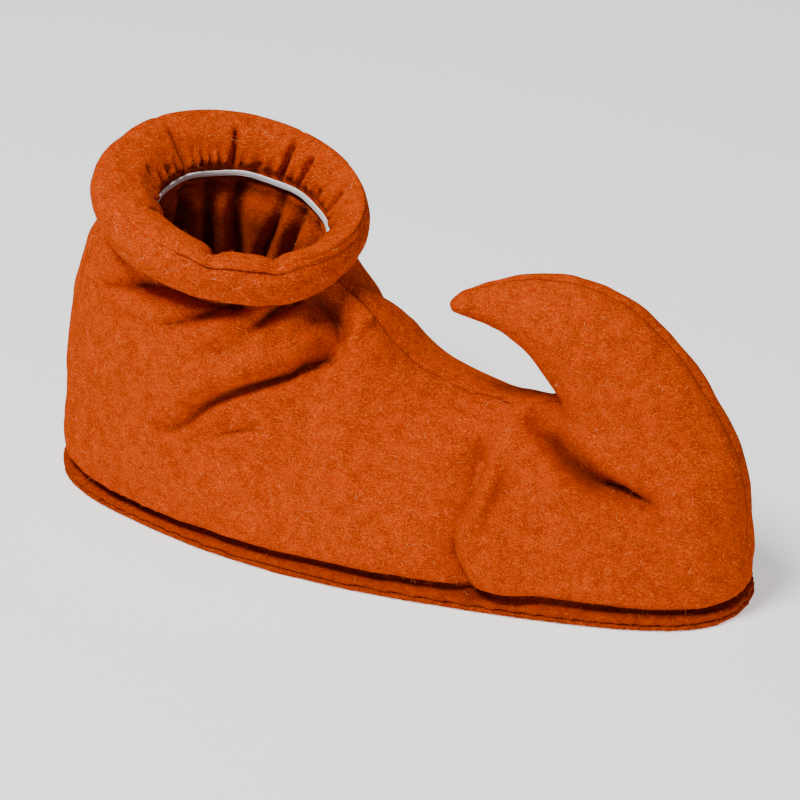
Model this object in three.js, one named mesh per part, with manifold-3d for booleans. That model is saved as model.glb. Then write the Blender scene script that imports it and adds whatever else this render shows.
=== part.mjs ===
// An elf shoe cover of padded felt: a flat felt sole, a hollow upper whose toe curls back over the instep,
// a rolled cuff with its gathered facing, and the elastic that draws the neck in.
// Millimetres. +Z is up, +X points to the toe, and the origin is on the floor under the middle of the sole.
// A slipper of this kind is alike on both sides, so each form is built for one side and mirrored in Y.
import * as THREE from "three";
import { mergeVertices } from "three/addons/utils/BufferGeometryUtils.js";
import Module from "manifold-3d";

const wasm = await Module();
wasm.setup();

// Driving sizes of the sole and its seam.
const SOLE_LENGTH = 320; // heel to toe, over the seam allowance
const BALL_WIDTH = 121; // the widest place, over the seam allowance
const SOLE_THICK = 3; // felt on thin foam
const SOLE_EDGE = 0.9; // rounding of its cut edge
const SEAM_ALLOWANCE = 7; // how far the sewn edges stand out beyond the stitching
const HEM_THICK = 2.6; // the upper's turned-out edge
const PIECE_GAP = 0.3; // between pieces that are sewn face to face

// Driving sizes of the upper.
const WALL = 3; // padded felt
const NECK_X = -73; // middle of the neck, ahead of the middle of the sole
const NECK_HEIGHT = 128; // middle of the neck above the floor
const NECK_RADIUS = 40.7; // outside of the gathered felt
const NECK_TILT = THREE.MathUtils.degToRad(12.5); // the neck leans forwards
const CROOK_X = 77; // the hollow of the curl, where the instep ends
const CROOK_HEIGHT = 79;
const TOE_FRONT = SOLE_LENGTH / 2 - 1; // the foremost place of the curl, just inside the sole's end
const CURL_HEIGHT = 137; // top of the curl above the floor
const CURL_REACH = 137; // from the toe's front back to the tip

// Driving sizes of the cuff and the elastic.
const CUFF_HEIGHT = 18.5; // from the elastic to the crest
const CUFF_DEPTH = 19.5; // from the neck out to the roll
const CUFF_SET_BACK = 6.5; // the roll is deeper behind the ankle than before it
const CUFF_DROP = 6; // how far the roll hangs below the elastic
const FACING_THICK = 2.2;
const ELASTIC_WIDTH = 4.4;
const ELASTIC_THICK = 1.1;

const SECTION_STEPS = 14; // points from the sole up to the seam, on each side
const STATION_STEPS = 2; // sections from one row of the station table to the next
const RING_STEPS = 40; // round the neck
const OUTLINE_STEPS = 36; // along each side of the sole
const EDGE_STEPS = 2; // over the rounding of the sole's edge
const FACING_STEPS = 8; // along the facing's line
const ROLL_STEPS = 12; // over the roll's outside
const SAME_PLACE = 1e-4; // points nearer than this are one

// The sole's half outline. along: share of the length from the heel. half: share of half the ball width.
const SOLE_OUTLINE = [
  { along: 0, half: 0 },
  { along: 0.0035, half: 0.17 },
  { along: 0.016, half: 0.36 },
  { along: 0.045, half: 0.545 },
  { along: 0.1, half: 0.71 },
  { along: 0.19, half: 0.85 },
  { along: 0.275, half: 0.945 },
  { along: 0.375, half: 1 },
  { along: 0.5, half: 0.99 },
  { along: 0.622, half: 0.915 },
  { along: 0.747, half: 0.805 },
  { along: 0.869, half: 0.65 },
  { along: 0.935, half: 0.51 },
  { along: 0.978, half: 0.34 },
  { along: 0.9955, half: 0.17 },
  { along: 1, half: 0 },
];

// The instep seam from the throat to the crook.
// ahead: share of the way forwards. up: share of the throat's height over the crook.
const INSTEP_SEAM = [
  { ahead: 0.1, up: 0.8 },
  { ahead: 0.18, up: 0.61 },
  { ahead: 0.245, up: 0.42 },
  { ahead: 0.295, up: 0.21 },
  { ahead: 0.35, up: 0.05 },
  { ahead: 0.43, up: -0.08 },
  { ahead: 0.52, up: -0.17 },
  { ahead: 0.62, up: -0.22 },
  { ahead: 0.71, up: -0.22 },
  { ahead: 0.79, up: -0.19 },
  { ahead: 0.865, up: -0.14 },
  { ahead: 0.96, up: -0.03 },
];

// The curl's two edges in side view.
// back: share of the reach behind the toe's front. up: share of the curl's height.
const INNER_CURL = [
  { back: 0.628, up: 0.635 },
  { back: 0.693, up: 0.7 },
  { back: 0.752, up: 0.748 },
  { back: 0.832, up: 0.781 },
  { back: 0.912, up: 0.788 },
  { back: 0.96, up: 0.79 },
  { back: 0.99, up: 0.803 },
];
const CURL_TIP = { back: 1.003, up: 0.829 };
const OUTER_CURL = [
  { back: 0, up: 0.09 },
  { back: 0, up: 0.22 },
  { back: 0.005, up: 0.365 },
  { back: 0.04, up: 0.526 },
  { back: 0.091, up: 0.631 },
  { back: 0.157, up: 0.737 },
  { back: 0.234, up: 0.828 },
  { back: 0.31, up: 0.89 },
  { back: 0.38, up: 0.942 },
  { back: 0.456, up: 0.978 },
  { back: 0.526, up: 0.998 },
  { back: 0.606, up: 1 },
  { back: 0.686, up: 0.989 },
  { back: 0.759, up: 0.971 },
  { back: 0.839, up: 0.938 },
  { back: 0.912, up: 0.901 },
  { back: 0.966, up: 0.87 },
  { back: 0.993, up: 0.85 },
];

// Sections of the upper, from the back of the heel to the tip of the curl.
// low: place on the lower edge, 0 to 1 round the sole from heel to toe, 1 to 2 up the toe seam to the tip.
// high: place on the upper edge, 0 to 1 round the neck from back to front, 1 to 2 along the seam to the tip.
// The section leaves its lower edge upwards by lift, off the sole's edge by flare and sideways by broad.
// It comes to its upper edge off the neck by puff, from sideways by spread and from above by rise.
// All six are shares of the section's own height.
const STATIONS = [
  // The heel.
  { low: 0, high: 0, lift: 0.42, flare: 0.07, broad: 0, puff: 0.26, spread: 0, rise: 0.02 },
  { low: 0.045, high: 0.08, lift: 0.42, flare: 0.07, broad: 0, puff: 0.26, spread: 0, rise: 0.02 },
  { low: 0.1, high: 0.17, lift: 0.42, flare: 0.07, broad: 0, puff: 0.24, spread: 0, rise: 0 },
  { low: 0.165, high: 0.28, lift: 0.42, flare: 0.06, broad: 0, puff: 0.19, spread: 0, rise: -0.04 },
  // The ankle and the throat.
  { low: 0.235, high: 0.4, lift: 0.42, flare: 0.07, broad: 0, puff: 0.14, spread: 0, rise: -0.08 },
  { low: 0.305, high: 0.53, lift: 0.42, flare: 0.07, broad: 0, puff: 0.12, spread: 0, rise: -0.08 },
  { low: 0.365, high: 0.67, lift: 0.42, flare: 0.08, broad: 0, puff: 0.11, spread: 0.02, rise: -0.07 },
  { low: 0.41, high: 0.83, lift: 0.41, flare: 0.09, broad: 0, puff: 0.11, spread: 0.05, rise: -0.04 },
  { low: 0.455, high: 1, lift: 0.39, flare: 0.1, broad: 0, puff: 0.13, spread: 0.15, rise: -0.02 },
  // The instep.
  { low: 0.5, high: 1.14, lift: 0.37, flare: 0.12, broad: 0, puff: 0.06, spread: 0.24, rise: 0.01 },
  { low: 0.55, high: 1.28, lift: 0.35, flare: 0.12, broad: 0, puff: 0, spread: 0.31, rise: 0.05 },
  { low: 0.61, high: 1.4, lift: 0.34, flare: 0.12, broad: 0, puff: 0, spread: 0.36, rise: 0.08 },
  { low: 0.68, high: 1.485, lift: 0.33, flare: 0.1, broad: 0, puff: 0, spread: 0.37, rise: 0.08 },
  { low: 0.76, high: 1.545, lift: 0.29, flare: 0.08, broad: 0, puff: 0, spread: 0.38, rise: 0.05 },
  // Round the toe's foot.
  { low: 0.84, high: 1.592, lift: 0.27, flare: 0.06, broad: 0.05, puff: 0, spread: 0.4, rise: 0.03 },
  { low: 0.92, high: 1.632, lift: 0.26, flare: 0.05, broad: 0.07, puff: 0, spread: 0.39, rise: 0.02 },
  { low: 0.97, high: 1.643, lift: 0.26, flare: 0.03, broad: 0.18, puff: 0, spread: 0.37, rise: 0.01 },
  { low: 1, high: 1.65, lift: 0.25, flare: 0, broad: 0.34, puff: 0, spread: 0.36, rise: 0 },
  // Up the toe and back along the curl to its tip.
  { low: 1.13, high: 1.657, lift: 0.13, flare: 0, broad: 0.4, puff: 0, spread: 0.34, rise: 0 },
  { low: 1.29, high: 1.665, lift: 0.05, flare: 0, broad: 0.41, puff: 0, spread: 0.34, rise: 0 },
  { low: 1.42, high: 1.677, lift: 0, flare: 0, broad: 0.42, puff: 0, spread: 0.36, rise: 0 },
  { low: 1.55, high: 1.702, lift: 0, flare: 0, broad: 0.43, puff: 0, spread: 0.4, rise: 0 },
  { low: 1.68, high: 1.765, lift: 0, flare: 0, broad: 0.5, puff: 0, spread: 0.45, rise: 0 },
  { low: 1.8, high: 1.845, lift: 0, flare: 0, broad: 0.54, puff: 0, spread: 0.5, rise: 0 },
  { low: 1.91, high: 1.93, lift: 0, flare: 0, broad: 0.58, puff: 0, spread: 0.56, rise: 0 },
  { low: 2, high: 2, lift: 0, flare: 0, broad: 0.6, puff: 0, spread: 0.6, rise: 0 },
];
const HOLLOW_END = STATIONS.length - 2; // the tip itself is solid felt

const HEM_BOTTOM = SOLE_THICK + PIECE_GAP;
const OUTWARDS = new THREE.Vector3(0, -1, 0);
const UPWARDS = new THREE.Vector3(0, 0, 1);

// The neck's own frame: forwards along the ring, and out of its mouth.
const NECK_FORWARDS = new THREE.Vector3(Math.cos(NECK_TILT), 0, -Math.sin(NECK_TILT));
const NECK_AXIS = new THREE.Vector3(Math.sin(NECK_TILT), 0, Math.cos(NECK_TILT));
const NECK_CENTRE = new THREE.Vector3(NECK_X, 0, NECK_HEIGHT);
const NECK_EDGE = -ELASTIC_WIDTH / 2 - PIECE_GAP; // the upper's top edge, along the neck's axis

function neckPoint(turn, radius, height) {
  const angle = Math.PI * (1 - turn);
  return NECK_CENTRE.clone()
    .addScaledVector(NECK_FORWARDS, radius * Math.cos(angle))
    .addScaledVector(OUTWARDS, radius * Math.sin(angle))
    .addScaledVector(NECK_AXIS, height);
}

// The edge of the sole from heel to toe, on the side that faces -Y.
const soleCurve = new THREE.CatmullRomCurve3(
  SOLE_OUTLINE.map(
    ({ along, half }) => new THREE.Vector3((along - 0.5) * SOLE_LENGTH, (-half * BALL_WIDTH) / 2, 0),
  ),
  false,
  "centripetal",
);

function soleNormal(share) {
  if (share <= 0) return new THREE.Vector3(-1, 0, 0);
  if (share >= 1) return new THREE.Vector3(1, 0, 0);
  const tangent = soleCurve.getTangentAt(share);
  return new THREE.Vector3(tangent.y, -tangent.x, 0);
}

function solePoint(share, inset, height) {
  const point = soleCurve.getPointAt(share).addScaledVector(soleNormal(share), -inset);
  if (share <= 0 || share >= 1) point.y = 0;
  return point.setZ(height);
}

// The mid-plane seams, from the curl's table rows.
const curlPoint = ({ back, up }) => new THREE.Vector3(TOE_FRONT - back * CURL_REACH, 0, up * CURL_HEIGHT);
const throat = neckPoint(1, NECK_RADIUS, NECK_EDGE);
const crook = new THREE.Vector3(CROOK_X, 0, CROOK_HEIGHT);
const instepPoint = ({ ahead, up }) =>
  new THREE.Vector3(
    THREE.MathUtils.lerp(throat.x, crook.x, ahead),
    0,
    THREE.MathUtils.lerp(crook.z, throat.z, up),
  );
const topSeam = new THREE.CatmullRomCurve3(
  [throat, ...INSTEP_SEAM.map(instepPoint), crook, ...INNER_CURL.map(curlPoint), curlPoint(CURL_TIP)],
  false,
  "centripetal",
);
const toeSeam = new THREE.CatmullRomCurve3(
  [solePoint(1, SEAM_ALLOWANCE, HEM_BOTTOM), ...OUTER_CURL.map(curlPoint), curlPoint(CURL_TIP)],
  false,
  "centripetal",
);

// A column of the station table as a smooth function of the row number.
function column(key, row) {
  const i = Math.min(Math.floor(row), STATIONS.length - 2);
  const value = (n) => STATIONS[THREE.MathUtils.clamp(n, 0, STATIONS.length - 1)][key];
  const t = row - i;
  const [a, b, c, d] = [value(i - 1), value(i), value(i + 1), value(i + 2)];
  const curved = b + 0.5 * t * (c - a + t * (2 * a - 5 * b + 4 * c - d + t * (3 * (b - c) + d - a)));
  return THREE.MathUtils.clamp(curved, Math.min(b, c), Math.max(b, c));
}

// A seam's place and its own directions: along it, and square to it in the mid-plane.
function onSeam(seam, share) {
  const along = seam.getTangentAt(share);
  return { point: seam.getPointAt(share), along, off: new THREE.Vector3(-along.z, 0, along.x) };
}

// One side's section at a row: a curve from the lower edge up to the upper edge.
function sectionCurve(row) {
  const low = column("low", row);
  const high = column("high", row);
  const toe = onSeam(toeSeam, THREE.MathUtils.clamp(low - 1, 0, 1));
  const top = onSeam(topSeam, THREE.MathUtils.clamp(high - 1, 0, 1));
  const foot = low < 1 ? solePoint(low, SEAM_ALLOWANCE, HEM_BOTTOM) : toe.point;
  const head = high < 1 ? neckPoint(high, NECK_RADIUS, NECK_EDGE) : top.point;
  const height = foot.distanceTo(head);
  const pulled = (point, ...pulls) => {
    const end = point.clone();
    pulls.forEach(([direction, key]) => end.addScaledVector(direction, column(key, row) * height));
    return end;
  };
  const footPull = pulled(
    foot,
    [low < 1 ? UPWARDS : toe.along, "lift"],
    [low < 1 ? soleNormal(low) : toe.off.negate(), "flare"],
    [OUTWARDS, "broad"],
  );
  const headPull = pulled(
    head,
    [high < 1 ? neckPoint(high, 1, 0).sub(NECK_CENTRE) : top.along, "puff"],
    [OUTWARDS, "spread"],
    [high < 1 ? NECK_AXIS : top.off, "rise"],
  );
  return new THREE.CubicBezierCurve3(foot, footPull, headPull, head);
}

// Rows of points over one side of the upper, with what each row's two ends stand on.
const outerRows = [];
for (let step = 0; step <= (STATIONS.length - 1) * STATION_STEPS; step += 1) {
  const row = step / STATION_STEPS;
  outerRows.push({
    row,
    low: column("low", row),
    high: column("high", row),
    points: sectionCurve(row).getPoints(SECTION_STEPS),
  });
}

// The same rows, moved in by the wall, as far as the curl is hollow.
function innerRows() {
  const last = HOLLOW_END * STATION_STEPS;
  return outerRows.slice(0, last + 1).map((section, i) => {
    const before = outerRows[Math.max(i - 1, 0)].points;
    const after = outerRows[Math.min(i + 1, outerRows.length - 1)].points;
    const points = section.points.map((point, j) => {
      if (j === 0 && section.low <= 1) return solePoint(section.low, SEAM_ALLOWANCE + WALL, HEM_BOTTOM);
      if (j === SECTION_STEPS && section.high <= 1) {
        return neckPoint(section.high, NECK_RADIUS - WALL, NECK_EDGE - WALL);
      }
      const alongRow = after[j].clone().sub(before[j]);
      const upSection = section.points[Math.min(j + 1, SECTION_STEPS)]
        .clone()
        .sub(section.points[Math.max(j - 1, 0)]);
      const normal = alongRow.cross(upSection).normalize();
      const inMiddle = i === 0 || j === 0 || j === SECTION_STEPS;
      if (inMiddle) normal.setY(0).normalize();
      const moved = point.clone().addScaledVector(normal, -WALL);
      moved.y = inMiddle ? 0 : Math.min(moved.y, 0);
      return moved;
    });
    return { ...section, points };
  });
}

// A manifold-3d solid from a list of triangles, each three points.
// Flat triangles and pairs that face each other are dropped.
function solidFrom(triangles) {
  const merged = mergeVertices(new THREE.BufferGeometry().setFromPoints(triangles.flat()), SAME_PLACE);
  const index = merged.index.array;
  const kept = new Map();
  for (let i = 0; i < index.length; i += 3) {
    const corners = [index[i], index[i + 1], index[i + 2]];
    if (new Set(corners).size < 3) continue;
    const key = [...corners].sort((a, b) => a - b).join();
    if (kept.has(key)) kept.delete(key);
    else kept.set(key, corners);
  }
  return new wasm.Manifold(
    new wasm.Mesh({
      numProp: 3,
      vertProperties: merged.attributes.position.array,
      triVerts: new Uint32Array([...kept.values()].flat()),
    }),
  );
}

function solidOfGeometry(geometry) {
  const bare = geometry.index ? geometry.toNonIndexed() : geometry;
  const position = bare.getAttribute("position");
  const corner = (n) => new THREE.Vector3().fromBufferAttribute(position, n);
  const triangles = [];
  for (let i = 0; i < position.count; i += 3) triangles.push([corner(i), corner(i + 1), corner(i + 2)]);
  return solidFrom(triangles);
}

function geometryOf(solid) {
  const { vertProperties, triVerts } = solid.getMesh();
  const geometry = new THREE.BufferGeometry();
  geometry.setAttribute("position", new THREE.BufferAttribute(vertProperties, 3));
  geometry.setIndex(new THREE.BufferAttribute(triVerts, 1));
  geometry.computeVertexNormals();
  return geometry;
}

const mirrored = (point) => new THREE.Vector3(point.x, -point.y, point.z);

// A closed form from rows of one side. Its ends at the sole and the neck run on by drop and by reach.
function closedForm(rows, drop, reach) {
  const loops = rows.map(({ low, high, points }) => {
    const foot = points[0].clone();
    const head = points[points.length - 1].clone();
    if (low <= 1) foot.z -= drop;
    if (high <= 1) head.addScaledVector(NECK_AXIS, reach);
    const side = [foot, ...points, head];
    return [...side, ...side.map(mirrored).reverse()];
  });
  const triangles = [];
  const quad = (a, b, c, d) => triangles.push([a, b, c], [a, c, d]);
  for (let i = 0; i + 1 < loops.length; i += 1) {
    const [here, next] = [loops[i], loops[i + 1]];
    here.forEach((_, j) => {
      const k = (j + 1) % here.length;
      quad(here[j], next[j], next[k], here[k]);
    });
  }
  const end = loops[loops.length - 1];
  for (let j = 0; j + 1 < end.length / 2; j += 1) {
    quad(end[j], end[end.length - 1 - j], end[end.length - 2 - j], end[j + 1]);
  }
  return solidFrom(triangles);
}

// The sole's outline, moved in by an inset, as a flat shape.
function soleShape(inset) {
  const side = [];
  for (let i = 0; i <= OUTLINE_STEPS; i += 1) side.push(solePoint(i / OUTLINE_STEPS, inset, 0));
  const loop = [...side, ...side.slice(1, -1).reverse().map(mirrored)];
  return loop.map((point) => new THREE.Vector2(point.x, point.y));
}

function sole() {
  const geometry = new THREE.ExtrudeGeometry(new THREE.Shape(soleShape(SOLE_EDGE)), {
    depth: SOLE_THICK - 2 * SOLE_EDGE,
    bevelThickness: SOLE_EDGE,
    bevelSize: SOLE_EDGE,
    bevelSegments: EDGE_STEPS,
  });
  return geometryOf(solidOfGeometry(geometry.translate(0, 0, SOLE_EDGE)));
}

function hem() {
  const shape = new THREE.Shape(soleShape(0));
  shape.holes.push(new THREE.Path(soleShape(SEAM_ALLOWANCE + WALL / 2)));
  const geometry = new THREE.ExtrudeGeometry(shape, { depth: HEM_THICK, bevelEnabled: false });
  return solidOfGeometry(geometry.translate(0, 0, HEM_BOTTOM));
}

const outerForm = closedForm(outerRows, 0, 0);

function upper() {
  const inner = closedForm(innerRows(), SOLE_THICK, CUFF_HEIGHT);
  return geometryOf(outerForm.add(hem()).subtract(inner));
}

// The facing's middle line, from the neck up the funnel and over the crest to its seam with the cuff.
// out: share of the cuff's depth. up: share of the cuff's height.
const FACING_LINE = [
  { out: 0, up: -0.11 },
  { out: 0.06, up: 0.25 },
  { out: 0.27, up: 0.62 },
  { out: 0.52, up: 0.88 },
  { out: 0.74, up: 0.945 },
  { out: 0.91, up: 0.83 },
];
// The roll's outside from that seam down and back in to the neck.
// drop: share of the cuff's drop, below the elastic.
const ROLL_UPPER = [
  { out: 1.0, up: 0.62 },
  { out: 1.035, up: 0.36 },
  { out: 0.99, up: 0.08 },
];
const ROLL_LOWER = [
  { out: 0.83, drop: 0.62 },
  { out: 0.58, drop: 1 },
  { out: 0.33, drop: 0.94 },
  { out: 0.12, drop: 0.62 },
];

const FACING_RADIUS = NECK_RADIUS - WALL + FACING_THICK / 2;
const facingLine = new THREE.SplineCurve(
  FACING_LINE.map(({ out, up }) => new THREE.Vector2(FACING_RADIUS + out * CUFF_DEPTH, up * CUFF_HEIGHT)),
);

// The facing's line moved sideways, outwards for a positive distance.
function besideFacing(distance) {
  const points = [];
  for (let i = 0; i <= FACING_STEPS; i += 1) {
    const tangent = facingLine.getTangentAt(i / FACING_STEPS);
    const point = facingLine.getPointAt(i / FACING_STEPS);
    points.push(new THREE.Vector2(point.x + tangent.y * distance, point.y - tangent.x * distance));
  }
  return points;
}

// A ring round the neck from a closed profile of radius and height, set back as it widens.
function ring(profile) {
  const geometry = new THREE.LatheGeometry([...profile, profile[0]], RING_STEPS).rotateX(Math.PI / 2);
  const position = geometry.getAttribute("position");
  for (let i = 0; i < position.count; i += 1) {
    const radius = Math.hypot(position.getX(i), position.getY(i));
    const widening = Math.max(radius - FACING_RADIUS, 0) / CUFF_DEPTH;
    position.setX(i, position.getX(i) - CUFF_SET_BACK * widening);
  }
  return solidOfGeometry(geometry.rotateY(NECK_TILT).translate(NECK_X, 0, NECK_HEIGHT));
}

function facing() {
  const half = FACING_THICK / 2;
  return geometryOf(ring([...besideFacing(half), ...besideFacing(-half).reverse()]));
}

// The roll lies on the upper, so its underside is cut to the upper's own form.
function cuff() {
  const inside = besideFacing(FACING_THICK / 2 + PIECE_GAP);
  const place = (out, height) => new THREE.Vector2(FACING_RADIUS + out * CUFF_DEPTH, height);
  const line = [
    inside[FACING_STEPS],
    ...ROLL_UPPER.map(({ out, up }) => place(out, up * CUFF_HEIGHT)),
    ...ROLL_LOWER.map(({ out, drop }) => place(out, -drop * CUFF_DROP)),
    inside[0],
  ];
  const outside = new THREE.SplineCurve(line).getPoints(ROLL_STEPS);
  const roll = ring([...outside, ...inside.slice(1, -1)].reverse());
  const lift = NECK_AXIS.clone().multiplyScalar(PIECE_GAP);
  return geometryOf(roll.subtract(outerForm.translate(lift.toArray())));
}

function elastic() {
  const outer = NECK_RADIUS - WALL - PIECE_GAP;
  const inner = outer - ELASTIC_THICK;
  const half = ELASTIC_WIDTH / 2;
  return geometryOf(
    ring([
      new THREE.Vector2(outer, -half),
      new THREE.Vector2(outer, half),
      new THREE.Vector2(inner, half),
      new THREE.Vector2(inner, -half),
    ]),
  );
}

const FELT = { color: 0xb9490f, roughness: 0.95, metalness: 0 };
const WHITE_ELASTIC = { color: 0xe9e9ee, roughness: 0.7, metalness: 0 };

function piece(name, geometry, look) {
  const mesh = new THREE.Mesh(geometry, new THREE.MeshStandardMaterial(look));
  mesh.name = name;
  return mesh;
}

const shoeCover = new THREE.Group();
shoeCover.add(
  piece("sole", sole(), FELT),
  piece("upper", upper(), FELT),
  piece("cuff", cuff(), FELT),
  piece("cuff_facing", facing(), FELT),
  piece("elastic", elastic(), WHITE_ELASTIC),
);

export default shoeCover;
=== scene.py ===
import math

import bpy
import numpy as np
from mathutils import Matrix, Vector, kdtree, noise
from mathutils.bvhtree import BVHTree


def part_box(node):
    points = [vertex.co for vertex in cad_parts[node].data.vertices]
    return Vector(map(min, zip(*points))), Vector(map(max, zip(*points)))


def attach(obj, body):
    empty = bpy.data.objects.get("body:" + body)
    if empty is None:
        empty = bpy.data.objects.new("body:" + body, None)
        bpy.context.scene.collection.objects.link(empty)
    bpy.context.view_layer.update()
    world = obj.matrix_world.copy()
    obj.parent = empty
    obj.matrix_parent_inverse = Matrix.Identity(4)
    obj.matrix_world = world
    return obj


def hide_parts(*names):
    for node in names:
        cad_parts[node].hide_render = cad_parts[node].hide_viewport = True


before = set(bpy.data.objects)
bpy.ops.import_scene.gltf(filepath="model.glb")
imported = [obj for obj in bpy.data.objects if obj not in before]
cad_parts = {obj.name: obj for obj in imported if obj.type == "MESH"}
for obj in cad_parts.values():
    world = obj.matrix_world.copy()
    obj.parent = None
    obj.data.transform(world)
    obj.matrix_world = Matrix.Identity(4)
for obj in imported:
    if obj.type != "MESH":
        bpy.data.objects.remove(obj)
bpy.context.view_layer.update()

MM = 0.001
SOLE_LOW, SOLE_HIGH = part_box("sole")
LENGTH = SOLE_HIGH.x - SOLE_LOW.x
SHOE_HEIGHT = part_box("upper")[1].z
HEM_TOP = SOLE_HIGH.z + 2.9 * MM  # top of the turned-out edge that lies on the sole

# The neck leans forwards round the middle of the elastic.
NECK_TILT = math.radians(12.5)
ELASTIC_LOW, ELASTIC_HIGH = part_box("elastic")
NECK_CENTRE = np.array((ELASTIC_LOW + ELASTIC_HIGH) / 2)
NECK_FORWARDS = np.array([math.cos(NECK_TILT), 0, -math.sin(NECK_TILT)])
NECK_AXIS = np.array([math.sin(NECK_TILT), 0, math.cos(NECK_TILT)])
NECK_RADIUS = (ELASTIC_HIGH.y - ELASTIC_LOW.y) / 2
ELASTIC_WIDTH = 4.4 * MM

# The cuff's crest sags round its side and dips where two pleats cross it.
# turn: degrees round the neck from its front. spread: degrees over which the drop eases out.
CREST_DROPS = [
    {"turn": 62, "spread": 50, "drop": 2.4 * MM},
    {"turn": 79, "spread": 6, "drop": 2.2 * MM},
    {"turn": 47, "spread": 6, "drop": 2.2 * MM},
]
CREST_RISE = (5 * MM, 19 * MM)  # heights over the elastic from which and at which it drops in full

NEAR = -1  # the side that faces -Y
FAR = 1

SAME_PLACE = 0.01 * MM
SMOOTH_FACTOR = 0.5
SMOOTH_STRENGTHS = 20  # how many strengths a blend from kept to smoothed has
CLEAR_OF_WALL = 0.3 * MM  # how far outside its wall a vertex looks out
SEED_STEPS = (7.31, 3.17, 5.71)  # how far apart two seeds lie in the noise
CREASE_BOTTOM = 0.45  # how wide a crease's sharp bottom is, as a share of its width


# Selecting, applying and reading meshes.


def pick(piece):
    bpy.ops.object.select_all(action="DESELECT")
    piece.select_set(True)
    bpy.context.view_layer.objects.active = piece


def apply(piece, kind, **settings):
    pick(piece)
    modifier = piece.modifiers.new(kind.title(), kind)
    for key, value in settings.items():
        setattr(modifier, key, value)
    bpy.ops.object.modifier_apply(modifier=modifier.name)


def felt_copy(node, name):
    """A piece of its own from a CAD node, with its loose triangles merged."""
    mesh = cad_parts[node].data.copy()
    mesh.name = name
    mesh.materials.clear()
    piece = bpy.data.objects.new(name, mesh)
    bpy.context.scene.collection.objects.link(piece)
    pick(piece)
    bpy.ops.object.mode_set(mode="EDIT")
    bpy.ops.mesh.select_all(action="SELECT")
    bpy.ops.mesh.remove_doubles(threshold=SAME_PLACE)
    bpy.ops.object.mode_set(mode="OBJECT")
    return piece


def places(piece):
    flat = np.empty(len(piece.data.vertices) * 3)
    piece.data.vertices.foreach_get("co", flat)
    return flat.reshape(-1, 3)


def normals(piece):
    flat = np.empty(len(piece.data.vertices) * 3)
    piece.data.vertices.foreach_get("normal", flat)
    return flat.reshape(-1, 3)


def move_to(piece, points):
    piece.data.vertices.foreach_set("co", points.astype(np.float32).ravel())
    piece.data.update()


def smooth(piece, times, share=None):
    """Evens a piece out. share is how much each vertex takes part."""
    if share is None:
        apply(piece, "SMOOTH", factor=SMOOTH_FACTOR, iterations=times)
        return
    group = piece.vertex_groups.new(name="soft")
    steps = np.round(share * SMOOTH_STRENGTHS) / SMOOTH_STRENGTHS
    for value in np.unique(steps):
        group.add([int(i) for i in np.nonzero(steps == value)[0]], float(value), "REPLACE")
    apply(piece, "SMOOTH", factor=SMOOTH_FACTOR, iterations=times, vertex_group="soft")
    piece.vertex_groups.clear()


def ease(value, start, end):
    """0 before start, 1 after end, and a smooth curve between them."""
    share = np.clip((value - start) / (end - start), 0, 1)
    return share * share * (3 - 2 * share)


def bell(distance, width):
    return np.exp(-((distance / width) ** 2))


def crease(distance, width):
    """A trough with a sharp bottom and soft shoulders."""
    return (bell(distance, width) + np.exp(-np.abs(distance) / (CREASE_BOTTOM * width))) / 2


def lumps(points, rows):
    """Soft random lumps. Each row is one size of lump, which goes up and down by its rise."""
    total = np.zeros(len(points))
    for row in rows:
        shift = Vector([row["seed"] * step for step in SEED_STEPS])
        size = row["size"]
        total += row["rise"] * np.array([noise.noise(Vector(point) / size + shift) for point in points])
    return total


def outside_faces(piece):
    """True for each vertex that can see straight out to its own side of the shoe."""
    tree = BVHTree.FromObject(piece, bpy.context.evaluated_depsgraph_get())
    seen = []
    for point, normal in zip(places(piece), normals(piece)):
        start = Vector(point) + Vector(normal) * CLEAR_OF_WALL
        sideways = Vector((0, FAR if start.y > 0 else NEAR, 0))
        seen.append(tree.ray_cast(start, sideways)[0] is None)
    return np.array(seen)


def shift_walls(piece, outside, moves):
    """Moves the outer wall, and the inner wall with the place outside it."""
    points = places(piece)
    outer = np.nonzero(outside)[0]
    tree = kdtree.KDTree(len(outer))
    for i in outer:
        tree.insert(points[i], int(i))
    tree.balance()
    moved = points.copy()
    moved[outer] += moves[outer]
    for i in np.nonzero(~outside)[0]:
        moved[i] += moves[tree.find(points[i])[1]]
    move_to(piece, moved)


def round_neck(points):
    """Each point's turn round the neck from its front, its radius and its height along the neck's axis."""
    away = points - NECK_CENTRE
    forwards = away @ NECK_FORWARDS
    turn = np.degrees(np.arctan2(-away[:, 1], forwards))
    return turn, np.hypot(forwards, away[:, 1]), away @ NECK_AXIS


def from_neck(points):
    """The direction straight out from the neck's axis at each point."""
    away = points - NECK_CENTRE
    out = away - (away @ NECK_AXIS)[:, None] * NECK_AXIS
    return out / np.linalg.norm(out, axis=1)[:, None]


def lower_crest(points):
    """Lets the cuff's crest sag and dip, along the neck's axis."""
    turn, _, height = round_neck(points)
    drop = sum(row["drop"] * bell(turn_apart(turn, row["turn"]), row["spread"]) for row in CREST_DROPS)
    return points - (drop * ease(height, *CREST_RISE))[:, None] * NECK_AXIS


def turn_apart(turn, centre):
    return (turn - centre + 180) % 360 - 180


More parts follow.
